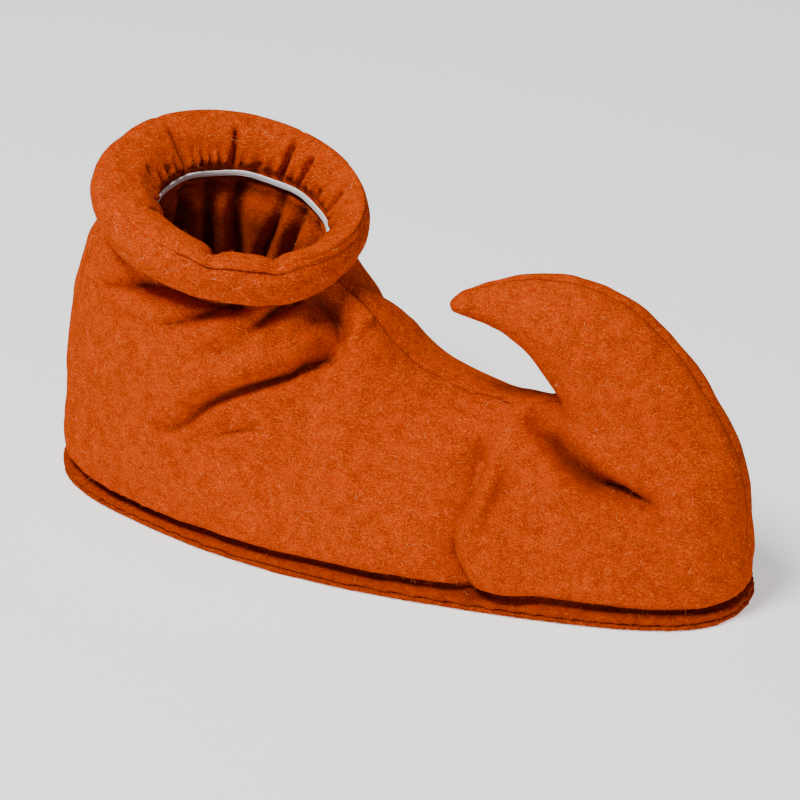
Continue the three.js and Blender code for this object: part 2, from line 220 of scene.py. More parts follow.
# The upper's folds, as they lie on its two sides.
# along: share of the sole's length from the heel. up: share of the shoe's height.
# deep: share of the fold's depth there. ridge: the fullness beside the trough, as a share of its depth.
# lip: how far the fullness hangs over the trough.
# full, steep: 1 where the fullness or the steep wall lies above the trough, -1 below.
FOLDS = [
    {
        "name": "groove from the crook towards the toe",
        "side": NEAR,
        "depth": 13 * MM,
        "width": 4.6 * MM,
        "ridge": 0.3,
        "lip": 1 * MM,
        "full": -1,
        "steep": -1,
        "line": [
            {"along": 0.706, "up": 0.54, "deep": 0.35},
            {"along": 0.737, "up": 0.525, "deep": 1.0},
            {"along": 0.771, "up": 0.485, "deep": 1.0},
            {"along": 0.814, "up": 0.435, "deep": 0.95},
            {"along": 0.86, "up": 0.405, "deep": 0.85},
            {"along": 0.89, "up": 0.393, "deep": 0.5},
            {"along": 0.915, "up": 0.387, "deep": 0.0},
        ],
    },
    {
        "name": "fold across the ankle",
        "side": NEAR,
        "depth": 9.5 * MM,
        "width": 5 * MM,
        "ridge": 0.4,
        "lip": 2 * MM,
        "full": 1,
        "steep": -1,
        "line": [
            {"along": 0.461, "up": 0.69, "deep": 0.0},
            {"along": 0.448, "up": 0.668, "deep": 0.8},
            {"along": 0.433, "up": 0.646, "deep": 1.0},
            {"along": 0.402, "up": 0.617, "deep": 1.0},
            {"along": 0.363, "up": 0.588, "deep": 0.95},
            {"along": 0.324, "up": 0.545, "deep": 0.9},
            {"along": 0.3, "up": 0.509, "deep": 0.8},
            {"along": 0.265, "up": 0.423, "deep": 0.5},
            {"along": 0.205, "up": 0.33, "deep": 0.0},
        ],
    },
    {
        "name": "crease under the cuff, behind",
        "side": NEAR,
        "depth": 7.5 * MM,
        "width": 3.6 * MM,
        "ridge": 0.4,
        "lip": 2 * MM,
        "full": -1,
        "steep": -1,
        "line": [
            {"along": 0.115, "up": 0.765, "deep": 0.1},
            {"along": 0.134, "up": 0.781, "deep": 0.5},
            {"along": 0.19, "up": 0.835, "deep": 0.9},
            {"along": 0.243, "up": 0.85, "deep": 1.0},
            {"along": 0.271, "up": 0.835, "deep": 1.0},
            {"along": 0.318, "up": 0.82, "deep": 0.8},
            {"along": 0.35, "up": 0.82, "deep": 0.3},
        ],
    },
    {
        "name": "crease under the cuff, at the side",
        "side": NEAR,
        "depth": 9 * MM,
        "width": 3.2 * MM,
        "ridge": 0.4,
        "lip": 2.5 * MM,
        "full": -1,
        "steep": -1,
        "line": [
            {"along": 0.235, "up": 0.745, "deep": 0.2},
            {"along": 0.3, "up": 0.79, "deep": 1.0},
            {"along": 0.334, "up": 0.82, "deep": 0.7},
        ],
    },
    {
        "name": "crease under the cuff, before",
        "side": NEAR,
        "depth": 8.5 * MM,
        "width": 2.8 * MM,
        "ridge": 0.4,
        "lip": 2 * MM,
        "full": -1,
        "steep": -1,
        "line": [
            {"along": 0.35, "up": 0.76, "deep": 0.3},
            {"along": 0.378, "up": 0.796, "deep": 1.0},
            {"along": 0.394, "up": 0.82, "deep": 1.0},
        ],
    },
    {
        "name": "pleat at the front of the neck",
        "side": NEAR,
        "depth": 9.5 * MM,
        "width": 2.6 * MM,
        "ridge": 0.45,
        "lip": 0.5 * MM,
        "full": 1,
        "steep": 1,
        "line": [
            {"along": 0.4, "up": 0.82, "deep": 0.8},
            {"along": 0.412, "up": 0.791, "deep": 1.0},
            {"along": 0.431, "up": 0.754, "deep": 1.0},
            {"along": 0.448, "up": 0.712, "deep": 0.8},
            {"along": 0.453, "up": 0.685, "deep": 0.0},
        ],
    },
    {
        "name": "long soft fold down the vamp",
        "side": NEAR,
        "depth": 9 * MM,
        "width": 6.4 * MM,
        "ridge": 0.65,
        "lip": 0 * MM,
        "full": 1,
        "steep": 1,
        "line": [
            {"along": 0.643, "up": 0.5, "deep": 0.0},
            {"along": 0.65, "up": 0.46, "deep": 0.8},
            {"along": 0.657, "up": 0.412, "deep": 1.0},
            {"along": 0.657, "up": 0.344, "deep": 0.75},
            {"along": 0.647, "up": 0.266, "deep": 0.55},
            {"along": 0.648, "up": 0.184, "deep": 0.75},
            {"along": 0.666, "up": 0.1, "deep": 0.9},
            {"along": 0.68, "up": 0.05, "deep": 0.7},
        ],
    },
    {
        "name": "second soft fold down the vamp",
        "side": NEAR,
        "depth": 6.6 * MM,
        "width": 4.8 * MM,
        "ridge": 0.5,
        "lip": 0 * MM,
        "full": 1,
        "steep": 1,
        "line": [
            {"along": 0.69, "up": 0.47, "deep": 0.0},
            {"along": 0.694, "up": 0.41, "deep": 0.8},
            {"along": 0.692, "up": 0.35, "deep": 1.0},
            {"along": 0.684, "up": 0.28, "deep": 0.6},
            {"along": 0.682, "up": 0.2, "deep": 0.0},
        ],
    },
    {
        "name": "small wrinkle under the fold across the ankle",
        "side": NEAR,
        "depth": 3.3 * MM,
        "width": 3.4 * MM,
        "ridge": 0.4,
        "lip": 0.3 * MM,
        "full": 1,
        "steep": -1,
        "line": [
            {"along": 0.395, "up": 0.46, "deep": 0.0},
            {"along": 0.36, "up": 0.452, "deep": 0.9},
            {"along": 0.325, "up": 0.425, "deep": 1.0},
            {"along": 0.29, "up": 0.375, "deep": 0.0},
        ],
    },
    {
        "name": "groove from the crook, far side",
        "side": FAR,
        "depth": 8 * MM,
        "width": 5 * MM,
        "ridge": 0.15,
        "lip": 1 * MM,
        "full": -1,
        "steep": -1,
        "line": [
            {"along": 0.745, "up": 0.51, "deep": 0.0},
            {"along": 0.78, "up": 0.48, "deep": 0.9},
            {"along": 0.83, "up": 0.435, "deep": 1.0},
            {"along": 0.87, "up": 0.4, "deep": 0.6},
            {"along": 0.9, "up": 0.38, "deep": 0.0},
        ],
    },
    {
        "name": "long soft fold down the vamp, far side",
        "side": FAR,
        "depth": 5 * MM,
        "width": 7 * MM,
        "ridge": 0.4,
        "lip": 0 * MM,
        "full": 1,
        "steep": 1,
        "line": [
            {"along": 0.6, "up": 0.44, "deep": 0.0},
            {"along": 0.61, "up": 0.36, "deep": 1.0},
            {"along": 0.6, "up": 0.25, "deep": 0.8},
            {"along": 0.62, "up": 0.1, "deep": 0.7},
        ],
    },
    {
        "name": "crease under the cuff, far side",
        "side": FAR,
        "depth": 4.5 * MM,
        "width": 4 * MM,
        "ridge": 0.4,
        "lip": 1.5 * MM,
        "full": -1,
        "steep": -1,
        "line": [
            {"along": 0.13, "up": 0.75, "deep": 0.0},
            {"along": 0.17, "up": 0.79, "deep": 0.9},
            {"along": 0.21, "up": 0.83, "deep": 1.0},
            {"along": 0.25, "up": 0.85, "deep": 0.0},
        ],
    },
    {
        "name": "fold across the ankle, far side",
        "side": FAR,
        "depth": 7 * MM,
        "width": 6 * MM,
        "ridge": 0.5,
        "lip": 2 * MM,
        "full": 1,
        "steep": -1,
        "line": [
            {"along": 0.4, "up": 0.6, "deep": 0.0},
            {"along": 0.35, "up": 0.55, "deep": 0.9},
            {"along": 0.28, "up": 0.52, "deep": 1.0},
            {"along": 0.2, "up": 0.44, "deep": 0.7},
            {"along": 0.14, "up": 0.33, "deep": 0.0},
        ],
    },
]

DARKEST_FOLD = 12 * MM  # a trough of this depth gets the fold's full painted shade

# Parts of a fold's section, as shares of its width.
STEEP_SIDE = 0.5
GENTLE_SIDE = 1.3
FULLNESS_AT = 2.1
FULLNESS_WIDTH = 1.3
LIP_AT = 1.2
FOLD_SHADE_WIDTH = 0.55


def fold_moves(points, fold):
    """How far each point goes in (below 0) or out (above 0) for one fold, its lip's hang, and its painted
    shade.
    """
    x = np.array([row["along"] for row in fold["line"]]) * LENGTH + SOLE_LOW.x
    z = np.array([row["up"] for row in fold["line"]]) * SHOE_HEIGHT
    deep = np.array([row["deep"] for row in fold["line"]])
    nearest = np.full(len(points), np.inf)
    beside = np.zeros(len(points))
    share = np.zeros(len(points))
    for i in range(len(x) - 1):
        run = np.array([x[i + 1] - x[i], z[i + 1] - z[i]])
        off = points[:, [0, 2]] - (x[i], z[i])
        along = np.clip(off @ run / (run @ run), 0, 1)
        gap = off - along[:, None] * run
        distance = np.hypot(gap[:, 0], gap[:, 1])
        closer = distance < nearest
        nearest[closer] = distance[closer]
        beside[closer] = (run[0] * off[closer, 1] - run[1] * off[closer, 0]) / np.hypot(*run)
        share[closer] = (deep[i] + (deep[i + 1] - deep[i]) * along)[closer]
    width = fold["width"]
    above = beside * math.copysign(1, x[-1] - x[0])
    signed = np.where(above * fold["full"] > 0, nearest, -nearest)
    trough = crease(nearest, width * np.where(above * fold["steep"] > 0, STEEP_SIDE, GENTLE_SIDE))
    fullness = bell(signed - FULLNESS_AT * width, FULLNESS_WIDTH * width)
    lip = bell(signed - LIP_AT * width, width)
    out = fold["depth"] * share * (fold["ridge"] * fullness - trough)
    # Painted shade, darkest on the trough's line and in the deepest folds.
    shade = share * (fold["depth"] / DARKEST_FOLD) ** 2 * np.exp(-nearest / (FOLD_SHADE_WIDTH * width))
    return out, fold["full"] * fold["lip"] * share * lip, shade


# Gathers of the upper's lining below the elastic.
# turn: degrees round the neck from its front. deep: depth of the pleat. wide: its half width.
LINING_PLEATS = [
    {"turn": -172, "deep": 2.5, "wide": 2.4},
    {"turn": -152, "deep": 3.5, "wide": 2.0},
    {"turn": -133, "deep": 5.5, "wide": 2.6},
    {"turn": -114, "deep": 5.5, "wide": 2.6},
    {"turn": -92, "deep": 3.5, "wide": 2.2},
    {"turn": -74, "deep": 4.5, "wide": 2.4},
    {"turn": -52, "deep": 3.0, "wide": 2.0},
    {"turn": -28, "deep": 3.5, "wide": 2.2},
    {"turn": -5, "deep": 2.5, "wide": 2.2},
    {"turn": 17, "deep": 3.5, "wide": 2.4},
    {"turn": 41, "deep": 3.0, "wide": 2.0},
    {"turn": 63, "deep": 4.5, "wide": 2.4},
    {"turn": 88, "deep": 3.0, "wide": 2.2},
    {"turn": 109, "deep": 4.5, "wide": 2.4},
    {"turn": 131, "deep": 3.0, "wide": 2.0},
    {"turn": 152, "deep": 3.5, "wide": 2.2},
]

# A pair is where a blend starts and ends, in depth below the elastic if nothing else is said.
LINING_REACH = (38.25 * MM, 85 * MM)  # where its pleats fade out
LINING_FACES_IN = (0, 0.35)  # how squarely a wall faces the neck's axis to count as lining
LINING_HANG = 13 * MM  # how far the lining hangs inside the padded wall
LINING_LEAVES_WALL = (2 * MM, 16 * MM)
LINING_FLARE = 0.12  # how fast it widens as it goes down
LINING_SMOOTHING = 24
LINING_SMOOTHED = (1 * MM, 4 * MM)
LINING_LOBE = 5 * MM  # how far the cloth between two pleats swells inwards
LINING_SWELLS = (0, 22 * MM)
LINING_SWELL_POWER = 0.7
LINING_TROUGH_LIMIT = 1.2 * MM
LINING_SWAY = 4  # degrees that a pleat wanders sideways on its way down
LINING_SWAY_LENGTH = 13 * MM
# Painted shade on all of the lining below the elastic, to which each pleat's own painted shade adds.
LINING_SHADE = 0.2

# Pleats of the facing, from the elastic towards the crest.
# reach: share of the facing's height that the pleat runs up.
FACING_PLEATS = [
    {"turn": -176, "deep": 1.6, "wide": 2.2, "reach": 0.5},
    {"turn": -160, "deep": 4.8, "wide": 2.0, "reach": 1.0},
    {"turn": -147, "deep": 1.4, "wide": 1.6, "reach": 0.35},
    {"turn": -124, "deep": 4.4, "wide": 1.3, "reach": 0.95},
    {"turn": -107, "deep": 1.5, "wide": 1.6, "reach": 0.4},
    {"turn": -92, "deep": 4.4, "wide": 1.2, "reach": 1.0},
    {"turn": -78, "deep": 3.8, "wide": 1.2, "reach": 0.9},
    {"turn": -60, "deep": 1.6, "wide": 1.8, "reach": 0.5},
    {"turn": -43, "deep": 2.6, "wide": 2.0, "reach": 0.85},
    {"turn": -20, "deep": 1.8, "wide": 1.8, "reach": 0.6},
    {"turn": 2, "deep": 2.6, "wide": 2.0, "reach": 0.9},
    {"turn": 24, "deep": 1.6, "wide": 1.8, "reach": 0.5},
    {"turn": 46, "deep": 2.8, "wide": 1.9, "reach": 0.95},
    {"turn": 64, "deep": 1.6, "wide": 1.6, "reach": 0.4},
    {"turn": 80, "deep": 3.0, "wide": 2.0, "reach": 1.0},
    {"turn": 104, "deep": 1.8, "wide": 1.8, "reach": 0.5},
    {"turn": 124, "deep": 2.6, "wide": 2.0, "reach": 0.9},
    {"turn": 146, "deep": 1.6, "wide": 1.8, "reach": 0.45},
    {"turn": 166, "deep": 2.4, "wide": 1.9, "reach": 0.75},
]

FACING_LOBE = 3 * MM  # how far the felt between two pleats swells inwards
FACING_TROUGH_LIMIT = 2.2 * MM
FACING_PLEAT_END = (0.75, 1.05)  # shares of its reach between which a pleat runs out
FACING_LEAVES_ELASTIC = 4 * MM
FACING_CALM_TOP = 0.6  # how much less it moves at its top
FACING_CALM_FROM = 0.75  # share of its height
FACING_SEEN_FROM = 0.35  # how much of the view into the funnel comes from above
# Painted shade at the foot of the funnel, fading out upwards.
FUNNEL_SHADE = 0.25
FUNNEL_SHADE_FADE = (2 * MM, 9 * MM)
GATHERS = 47  # small gathers round the foot of the facing
GATHER_DEPTH = 1.4 * MM
# Painted shade in the troughs of the gathers, taken off again on their crests.
GATHER_SHADE = 0.25
GATHER_FADE = (4 * MM, 12 * MM)
GATHER_SWAY = 2.2  # how unevenly they stand
GATHER_SWAYS = 5

# What a pleat's depth and width in the tables are multiplied by, for its trough and for its painted shade.
LINING_TROUGH = {"deeper": 1.8, "wider": 1.3, "dark": 0.17, "dark_width": 0.7}
FACING_TROUGH = {"deeper": 2.1, "wider": 1.0, "dark": 0.3, "dark_width": 0.5}


def pleat_at(off, pleat, trough):
    """The depth and the painted shade of one pleat at each distance sideways from its line."""
    deep = pleat["deep"]
    wide = pleat["wide"] * MM
    depth = trough["deeper"] * deep * MM * crease(off, trough["wider"] * wide)
    dark = trough["dark"] * deep * np.exp(-np.abs(off) / (trough["dark_width"] * wide))
    return depth, dark


# The upper.

UPPER_VOXEL = 1.7 * MM
UPPER_SMOOTHING = 16
EDGE_CLEAR = 1 * MM  # above the sewn edge, which stays flat
ABOVE_HEM = (HEM_TOP + EDGE_CLEAR, HEM_TOP + 8 * MM)
TOE_SMOOTHING = 160
TOE_ALONG = (96 * MM, 120 * MM)  # where the smoothest place, the front of the toe, starts
TOE_UP = (34 * MM, 56 * MM)  # and where it ends
OFF_MIDDLE = (0.5 * MM, 5 * MM)  # distances from the middle seam over which folds set in
SEAM_DEPTH = 1.3 * MM
SEAM_WIDTH = 1.8 * MM
UPPER_LUMPS = [
    {"rise": 2.4 * MM, "size": 52 * MM, "seed": 1},
    {"rise": 0.9 * MM, "size": 24 * MM, "seed": 6},
    {"rise": 0.55 * MM, "size": 9 * MM, "seed": 2},
]

# The padded body stands out over its sewn edge, with a gap between them that is carved in and darkened with
# painted shade.
HEEL_OVERHANG = 5.4 * MM
TOE_OVERHANG = 2.6 * MM
HEEL_TO_TOE = (SOLE_LOW.x + 0.2 * LENGTH, SOLE_LOW.x + 0.6 * LENGTH)  # where one turns into the other
OVERHANG_RISE = (0.6 * MM, 3.6 * MM)  # heights over the gap
OVERHANG_FADE = (9 * MM, 46 * MM)  # heights over the edge
OVERHANG_LUMPS = [
    {"rise": 0.28, "size": 30 * MM, "seed": 7},
    {"rise": 0.14, "size": 11 * MM, "seed": 8},
]
TALL = (1, 1, 0.3)  # stretches lumps upright
UPRIGHT = (1, 1, 0)  # makes lumps that don't change with height
LEAST_SIDEWAYS = 0.3  # below this share of sideways, a wall's move gets smaller
GAP_DEPTH = 2.2 * MM
GAP_HEIGHT = 1.5 * MM
GAP_AT = 0.3 * MM
GAP_WIDTH = 1.8 * MM
GAP_WAVES = [{"rise": 0.7, "size": 34 * MM, "seed": 9}]
# Painted shade in the gap under the body, and over the whole of the flat sewn edge.
GAP_SHADE = 0.95
GAP_SHADE_AT = 0.6 * MM
EDGE_SHADE = 0.5
BODY_SAG = 0.4 * MM
BODY_SAG_AT = 3.2 * MM
BODY_SAG_WIDTH = 3 * MM
BODY_SAG_RISE = (0.6 * MM, 2.6 * MM)


def upper():
    piece = felt_copy("upper", "upper_felt")
    apply(piece, "REMESH", mode="VOXEL", voxel_size=UPPER_VOXEL)
    outside = outside_faces(piece)

    points = places(piece)
    above_hem = ease(points[:, 2], *ABOVE_HEM)
    smooth(piece, UPPER_SMOOTHING, above_hem)
    points = places(piece)
    toe = ease(points[:, 0], *TOE_ALONG) * (1 - ease(points[:, 2], *TOE_UP))
    smooth(piece, TOE_SMOOTHING, toe * above_hem)

    points = places(piece)
    amount, hanging, shaded = all_folds(points)
    amount += lumps(points, UPPER_LUMPS)
    amount -= SEAM_DEPTH * bell(points[:, 1], SEAM_WIDTH)
    moves = (amount * above_hem)[:, None] * normals(piece)
    moves[:, 2] -= hanging
    shift_walls(piece, outside, moves)
    smooth(piece, 1, above_hem)

    shaded = shaded * outside + painted_edge_shade(places(piece))
    hang_over(piece, outside)
    shaded += gather_lining(piece, outside)
    shade(piece)
    paint_shade(piece, shaded)
    return piece


def all_folds(points):
    """What all the folds together do to each point: its move out, its hang down and its painted shade."""
    side = np.where(points[:, 1] < 0, NEAR, FAR)
    off_middle = ease(np.abs(points[:, 1]), *OFF_MIDDLE)
    amount = np.zeros(len(points))
    hanging = np.zeros(len(points))
    shaded = np.zeros(len(points))
    for fold in FOLDS:
        out, down, dark = fold_moves(points, fold)
        taken = (side == fold["side"]) * off_middle
        amount += out * taken
        hanging += down * taken
        shaded += dark * taken
    return amount, hanging, shaded


def over_gap(points):
    """Each point's height over the gap above the sewn edge, which the body's wavy lower line leaves open."""
    return points[:, 2] - HEM_TOP - GAP_HEIGHT * (1 + lumps(points * UPRIGHT, GAP_WAVES))


def painted_edge_shade(points):
    """The painted shade of the sewn edge and of the gap over it."""
    in_gap = bell(over_gap(points) - GAP_SHADE_AT, GAP_WIDTH) * (points[:, 2] > HEM_TOP)
    return EDGE_SHADE * (points[:, 2] < HEM_TOP + EDGE_CLEAR) + GAP_SHADE * in_gap


def hang_over(piece, outside):
    """Puffs the foot of the body out over the flat sewn edge, with a lumpy lower line."""
    points = places(piece)
    sideways = normals(piece)
    sideways[:, 2] = 0
    sideways /= np.maximum(np.linalg.norm(sideways, axis=1), LEAST_SIDEWAYS)[:, None]
    height = points[:, 2] - HEM_TOP
    clear = over_gap(points)
    overhang = HEEL_OVERHANG + (TOE_OVERHANG - HEEL_OVERHANG) * ease(points[:, 0], *HEEL_TO_TOE)
    overhang *= 1 + lumps(points * TALL, OVERHANG_LUMPS)
    out = overhang * ease(clear, *OVERHANG_RISE) * (1 - ease(height, *OVERHANG_FADE))
    out -= GAP_DEPTH * bell(clear - GAP_AT, GAP_WIDTH) * ease(height, 0, EDGE_CLEAR)
    moves = out[:, None] * sideways
    moves[:, 2] = -BODY_SAG * bell(height - BODY_SAG_AT, BODY_SAG_WIDTH) * ease(height, *BODY_SAG_RISE)
    shift_walls(piece, outside, moves)


def gather_lining(piece, outside):
    """Hangs the inside of the neck down from the elastic in long pleats, and returns their painted shade."""
    points = places(piece)
    outwards = from_neck(points)
    _, radius, height = round_neck(points)
    lining = ease(-np.einsum("ij,ij->i", normals(piece), outwards), *LINING_FACES_IN) * ~outside
    reach = (1 - ease(-height, *LINING_REACH)) * lining
    hang = np.clip(radius - NECK_RADIUS - LINING_FLARE * np.maximum(-height, 0), 0, LINING_HANG)
    hang *= ease(-height, *LINING_LEAVES_WALL) * reach
    move_to(piece, points - hang[:, None] * outwards)
    smooth(piece, LINING_SMOOTHING, reach * ease(-height, *LINING_SMOOTHED))

    points = places(piece)
    turn, _, height = round_neck(points)
    lobes = np.full(len(points), LINING_LOBE)
    shaded = np.full(len(points), LINING_SHADE)
    for pleat in LINING_PLEATS:
        centre = pleat["turn"] + LINING_SWAY * np.sin(height / LINING_SWAY_LENGTH + pleat["turn"])
        off = np.radians(turn_apart(turn, centre)) * NECK_RADIUS
        depth, dark = pleat_at(off, pleat, LINING_TROUGH)
        lobes -= depth
        shaded += dark
    swells = ease(-height, *LINING_SWELLS) ** LINING_SWELL_POWER * reach
    inwards = np.clip(lobes, -LINING_TROUGH_LIMIT, LINING_LOBE) * swells
    move_to(piece, points - inwards[:, None] * from_neck(points))
    return shaded * reach * (height < 0)


# The cuff's roll.

FINE_VOXEL = 1.3 * MM
CUFF_SMOOTHING = 18
CUFF_FULLNESS = 0.5 * MM
CUFF_LUMPS = [
    {"rise": 1.5 * MM, "size": 26 * MM, "seed": 3},
    {"rise": 0.4 * MM, "size": 9 * MM, "seed": 4},
]
RIM_CALM = 6 * MM  # the lumps set in over this distance from the rim's seam
RIM_PINCH = 0.9 * MM
ROLL_PINCH_WIDTH = 1.8 * MM
FACING_PINCH_WIDTH = 2 * MM
# Painted shade in the pinched seam where the facing meets the roll.
RIM_SHADE = 0.9
ROLL_SHADE_WIDTH = 1.1 * MM
FACING_SHADE_WIDTH = 0.9 * MM


def rim_seam():
    """The radius and the height of the seam where the facing's outer edge meets the roll."""
    edge = np.array([vertex.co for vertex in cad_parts["cuff_facing"].data.vertices])
    _, radius, height = round_neck(edge)
    return radius.max(), height[radius.argmax()]


RIM_RADIUS, RIM_HEIGHT = rim_seam()


def cuff():
    piece = felt_copy("cuff", "cuff_felt")
    apply(piece, "REMESH", mode="VOXEL", voxel_size=FINE_VOXEL)
    smooth(piece, CUFF_SMOOTHING)
    points = places(piece)
    _, radius, height = round_neck(points)
    from_seam = np.hypot(radius - RIM_RADIUS, height - RIM_HEIGHT)
    amount = (CUFF_FULLNESS + lumps(points, CUFF_LUMPS)) * ease(from_seam, 0, RIM_CALM)
    amount -= RIM_PINCH * bell(from_seam, ROLL_PINCH_WIDTH)
    move_to(piece, lower_crest(points + amount[:, None] * normals(piece)))
    shade(piece)
    paint_shade(piece, RIM_SHADE * bell(from_seam, ROLL_SHADE_WIDTH))
    return piece


# The facing inside the cuff.


def facing():
    piece = felt_copy("cuff_facing", "facing_felt")
    quads_from(piece)
    apply(piece, "SUBSURF", levels=3, render_levels=3)
    points = places(piece)
    turn, radius, height = round_neck(points)
    top = height.max()
    lobes = np.full(len(points), FACING_LOBE)
    shaded = FUNNEL_SHADE * (1 - ease(height, *FUNNEL_SHADE_FADE))
    for pleat in FACING_PLEATS:
        off = np.radians(turn_apart(turn, pleat["turn"])) * radius
        depth, dark = pleat_at(off, pleat, FACING_TROUGH)
        first, last = (share * pleat["reach"] * top for share in FACING_PLEAT_END)
        run = 1 - ease(height, first, last)
        lobes -= run * depth
        shaded += run * dark
    angle = np.radians(turn)
    gathers = np.sin(GATHERS * angle + GATHER_SWAY * np.sin(GATHER_SWAYS * angle))
    gathers *= 1 - ease(height, *GATHER_FADE)
    lobes += GATHER_DEPTH * gathers

    elastic_top = ELASTIC_WIDTH / 2
    fade = ease(height, elastic_top, elastic_top + FACING_LEAVES_ELASTIC)
    fade *= 1 - FACING_CALM_TOP * ease(height, FACING_CALM_FROM * top, top)
    facing_out = normals(piece)
    seen = np.einsum("ij,ij->i", facing_out, FACING_SEEN_FROM * NECK_AXIS - from_neck(points)) > 0
    swell = np.clip(lobes, -FACING_TROUGH_LIMIT, FACING_LOBE + GATHER_DEPTH)
    from_seam = RIM_RADIUS - radius
    amount = np.where(seen, swell, 0) * fade - RIM_PINCH * bell(from_seam, FACING_PINCH_WIDTH)
    move_to(piece, lower_crest(points + amount[:, None] * facing_out))
    shade(piece)
    paint_shade(piece, shaded + RIM_SHADE * bell(from_seam, FACING_SHADE_WIDTH) - GATHER_SHADE * gathers)
    return piece


def quads_from(piece):
    pick(piece)
    bpy.ops.object.mode_set(mode="EDIT")
    bpy.ops.mesh.select_all(action="SELECT")
    bpy.ops.mesh.tris_convert_to_quads(face_threshold=math.radians(60), shape_threshold=math.radians(180))
    bpy.ops.object.mode_set(mode="OBJECT")


def shade(piece):
    pick(piece)
    bpy.ops.object.shade_smooth()


def paint_shade(piece, shaded):
    """Keeps the shade painted on each vertex, from 0 to 1, in folds, pleats, seams, the sewn edge and its
    gap, for the felt's colour to read.
    """
    layer = piece.data.attributes.new("painted_shade", "FLOAT", "POINT")
    layer.data.foreach_set("value", np.clip(shaded, 0, 1).astype(np.float32))


# The elastic and the sole.

ELASTIC_DRAWN_UP = 0.38  # how far its lower edge is drawn up, as a share of its width
ELASTIC_WAVE = 0.35 * MM
ELASTIC_WAVES = 9
ELASTIC_WAVE_START = 1.1
ELASTIC_STEADY = 2 * MM  # its waves set in over this distance from its middle line
ELASTIC_SMOOTHING = 6
SOLE_EDGE_LUMPS = [{"rise": 0.35 * MM, "size": 14 * MM, "seed": 5}]
LEVEL_FACE = 0.9  # a normal that stands this upright belongs to the top or the underside


def elastic():
    piece = felt_copy("elastic", "elastic_tape")
    quads_from(piece)
    apply(piece, "SUBSURF", levels=2, render_levels=2, subdivision_type="SIMPLE")
    smooth(piece, ELASTIC_SMOOTHING)
    points = places(piece)
    turn, _, height = round_neck(points)
    drawn = ELASTIC_DRAWN_UP * (ELASTIC_WIDTH / 2 - height)
    wave = ELASTIC_WAVE * np.sin(np.radians(turn) * ELASTIC_WAVES + ELASTIC_WAVE_START)
    wave *= ease(np.abs(height), 0, ELASTIC_STEADY)
    move_to(piece, points + (drawn + wave)[:, None] * NECK_AXIS)
    apply(piece, "SUBSURF", levels=1, render_levels=1)
    shade(piece)
    return piece


def sole():
    piece = felt_copy("sole", "sole_felt")
    apply(piece, "REMESH", mode="VOXEL", voxel_size=FINE_VOXEL)
    smooth(piece, 1)
    points = places(piece)
    facing_out = normals(piece)
    amount = lumps(points, SOLE_EDGE_LUMPS) * (np.abs(facing_out[:, 2]) < LEVEL_FACE)
    move_to(piece, points + amount[:, None] * facing_out)
    shade(piece)
    return piece


# Loose fibres that stand off the felt.

FIBRES_PER_PIECE = {"upper_felt": 7000, "cuff_felt": 2600, "facing_felt": 1300, "sole_felt": 600}
FIBRE_SEED = 5
FIBRE_LENGTH = 3 * MM
FIBRE_WIDTH = 0.11 * MM
FIBRE_LEAN = 0.3  # how far a fibre rises for each length that it runs along the felt
FIBRE_LENGTHS = (0.5, 1.3)  # shares of the length and of the lean that chance picks between
FIBRE_RISES = (0.3, 1.6)
FIBRE_BENDS = (-0.35, 0.35)
FIBRE_MIDDLE = {"along": 0.5, "up": 0.6}  # where its middle stands, as shares of its run and its rise
FIBRE_TAPER = (1, 0.8, 0.25)  # its width at the root, the middle and the tip
LOWEST_FIBRE = 1 * MM  # none grows on the underside


def per_face(piece, name, width):
    flat = np.empty(len(piece.data.polygons) * width)
    piece.data.polygons.foreach_get(name, flat)
    return flat.reshape(-1, width)


def unit(vectors):
    return vectors / np.linalg.norm(vectors, axis=1)[:, None]


def loose_fibres(pieces):
    """Fine pale hairs lying over the felt, each a bent ribbon of two faces, as one piece."""
    chance = np.random.default_rng(FIBRE_SEED)
    points = []
    for piece in pieces:
        number = FIBRES_PER_PIECE[piece.name]
        area = per_face(piece, "area", 1)[:, 0] * (per_face(piece, "center", 3)[:, 2] > LOWEST_FIBRE)
        chosen = chance.choice(len(area), number, p=area / area.sum())
        root = per_face(piece, "center", 3)[chosen]
        out = per_face(piece, "normal", 3)[chosen]
        along = unit(np.cross(out, chance.normal(size=(number, 3))))
        across = np.cross(out, along)
        length = FIBRE_LENGTH * chance.uniform(*FIBRE_LENGTHS, (number, 1))
        rise = FIBRE_LEAN * chance.uniform(*FIBRE_RISES, (number, 1))
        bend = chance.uniform(*FIBRE_BENDS, (number, 1))
        middle = root + length * (FIBRE_MIDDLE["along"] * along + FIBRE_MIDDLE["up"] * rise * out)
        tip = root + length * (along + rise * out + bend * across)
        corners = []
        for place, share in zip((root, middle, tip), FIBRE_TAPER):
            place[:, 2] = np.maximum(place[:, 2], FIBRE_WIDTH)
            corners.append(place + across * FIBRE_WIDTH / 2 * share)
            corners.append(place - across * FIBRE_WIDTH / 2 * share)
        points.extend(np.stack(corners, axis=1).reshape(-1, 3).tolist())
    faces = []
    for i in range(0, len(points), 2 * len(FIBRE_TAPER)):
        faces.append((i, i + 1, i + 3, i + 2))
        faces.append((i + 2, i + 3, i + 5, i + 4))
    mesh = bpy.data.meshes.new("loose_fibres")
    mesh.from_pydata(points, [], faces)
    piece = bpy.data.objects.new("loose_fibres", mesh)
    bpy.context.scene.collection.objects.link(piece)
    return piece


# Felt and elastic as materials.
# A felt's colours are those of its pale fibres, its body and its darker depth, whose tone, darkened, also
# makes the painted shade.

